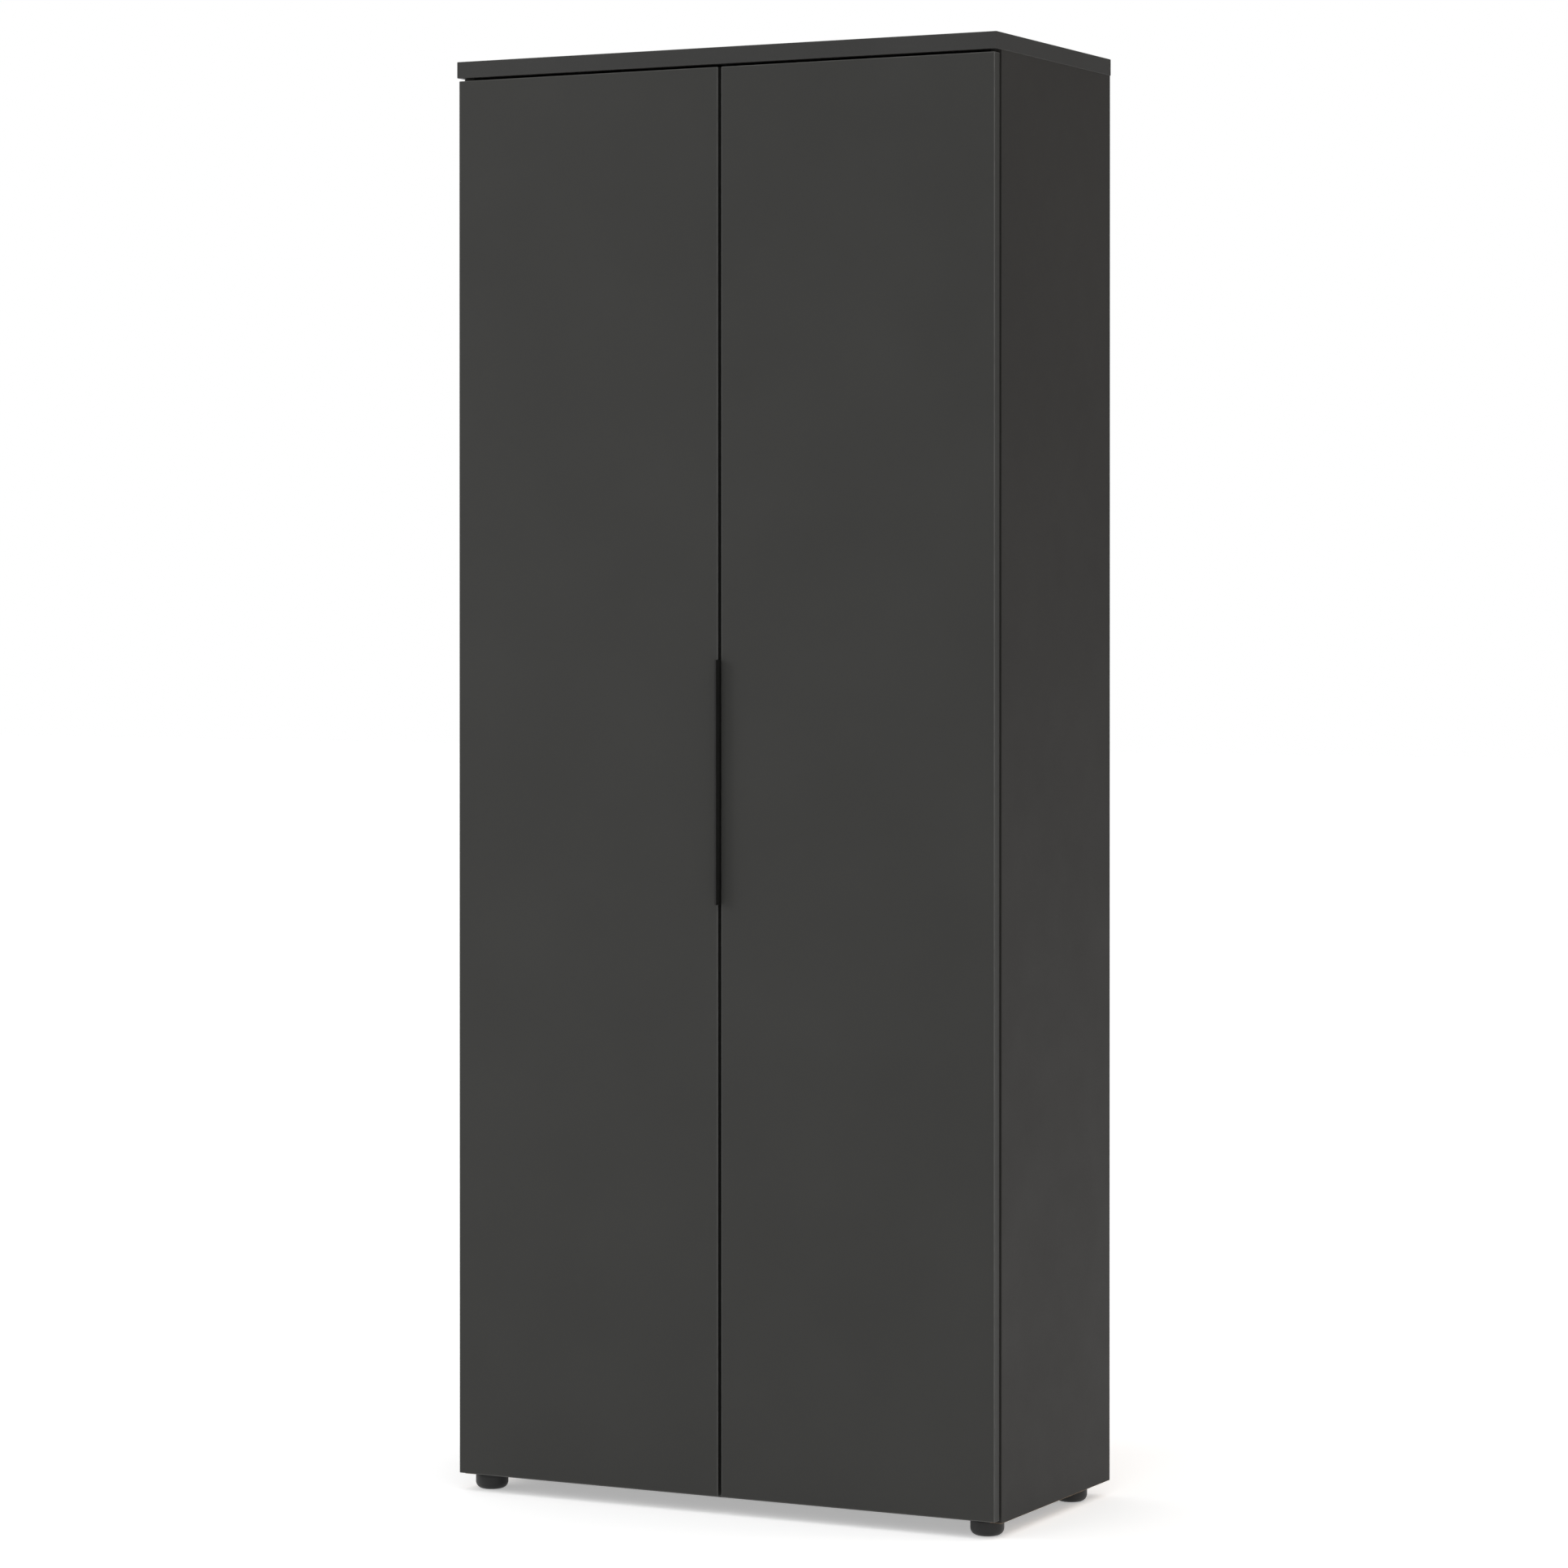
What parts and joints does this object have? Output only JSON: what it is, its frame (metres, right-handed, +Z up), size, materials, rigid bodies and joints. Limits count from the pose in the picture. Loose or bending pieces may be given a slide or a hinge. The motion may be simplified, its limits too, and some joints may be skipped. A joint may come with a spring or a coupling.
{
  "type": "wardrobe with doors",
  "caption": "Tall shallow graphite wardrobe with full-height hinged doors, a black edge-pull plate, an overhanging top and round glides; shelves and a hanger rail inside.",
  "frame": {"origin": "on the floor, under the centre of the bounding box of the whole object with its doors closed (pull plate included)", "axes": "+Z up, +Y to the rear of the wardrobe, +X to the right seen from the front"},
  "size_m": [0.8, 0.3802, 1.93],
  "materials": {
    "graphite_board": "matt graphite melamine on chipboard, 16 and 22 mm",
    "graphite_front": "matt graphite foil front, 16 mm",
    "back_sheet": "3 mm hardboard, printed graphite inside and raw brown behind",
    "joining_strip": "dark grey extruded strip",
    "black_metal": "matt black powder coat",
    "black_plastic": "moulded black plastic, fine grain",
    "chrome_tube": "chromed steel tube",
    "plated_steel": "nickel-plated steel",
    "zinc": "nickel-plated zinc die casting",
    "clear_pad": "soft clear silicone",
    "beech": "fluted beech dowel"
  },
  "bodies": {
    "carcass": {"top_panel": "graphite_board", "side_panel_left": "graphite_board", "side_panel_right": "graphite_board", "bottom_panel": "graphite_board", "hat_shelf": "graphite_board", "shoe_shelf": "graphite_board", "shelf_pins": "plated_steel", "back_panel_left": "back_sheet", "back_panel_right": "back_sheet", "back_strip": "joining_strip", "back_nails": "plated_steel", "cam_locks": "zinc", "cam_bolts": "plated_steel", "dowels": "beech", "foot_front_left": "black_plastic", "foot_front_right": "black_plastic", "foot_rear_left": "black_plastic", "foot_rear_right": "black_plastic", "foot_screws": "plated_steel", "hanger_rail": "chrome_tube", "rail_bracket_front": "zinc", "rail_bracket_rear": "zinc", "wall_angle_left": "plated_steel", "wall_angle_right": "plated_steel", "board_screws": "plated_steel", "arm_screws": "plated_steel", "hinge_arm_left_1": "plated_steel", "hinge_plate_left_1": "plated_steel", "hinge_arm_left_2": "plated_steel", "hinge_plate_left_2": "plated_steel", "hinge_arm_left_3": "plated_steel", "hinge_plate_left_3": "plated_steel", "hinge_arm_left_4": "plated_steel", "hinge_plate_left_4": "plated_steel", "hinge_arm_right_1": "plated_steel", "hinge_plate_right_1": "plated_steel", "hinge_arm_right_2": "plated_steel", "hinge_plate_right_2": "plated_steel", "hinge_arm_right_3": "plated_steel", "hinge_plate_right_3": "plated_steel", "hinge_arm_right_4": "plated_steel", "hinge_plate_right_4": "plated_steel"},
    "left_door": {"door_left": "graphite_front", "edge_pull": "black_metal", "door_screws_left": "plated_steel", "door_pads_left": "clear_pad", "hinge_pins_left": "plated_steel", "hinge_cup_left_1": "zinc", "hinge_cup_left_2": "zinc", "hinge_cup_left_3": "zinc", "hinge_cup_left_4": "zinc"},
    "right_door": {"door_right": "graphite_front", "door_screws_right": "plated_steel", "door_pads_right": "clear_pad", "hinge_pins_right": "plated_steel", "hinge_cup_right_1": "zinc", "hinge_cup_right_2": "zinc", "hinge_cup_right_3": "zinc", "hinge_cup_right_4": "zinc"}
  },
  "joints": [
    {"name": "left_door_hinge", "type": "hinge", "parent": "carcass", "child": "left_door", "pos_m": [-0.391, -0.1729, 0], "axis": [0, 0, -1], "range_deg": [0, 95]},
    {"name": "right_door_hinge", "type": "hinge", "parent": "carcass", "child": "right_door", "pos_m": [0.391, -0.1729, 0], "axis": [0, 0, 1], "range_deg": [0, 95]}
  ]
}
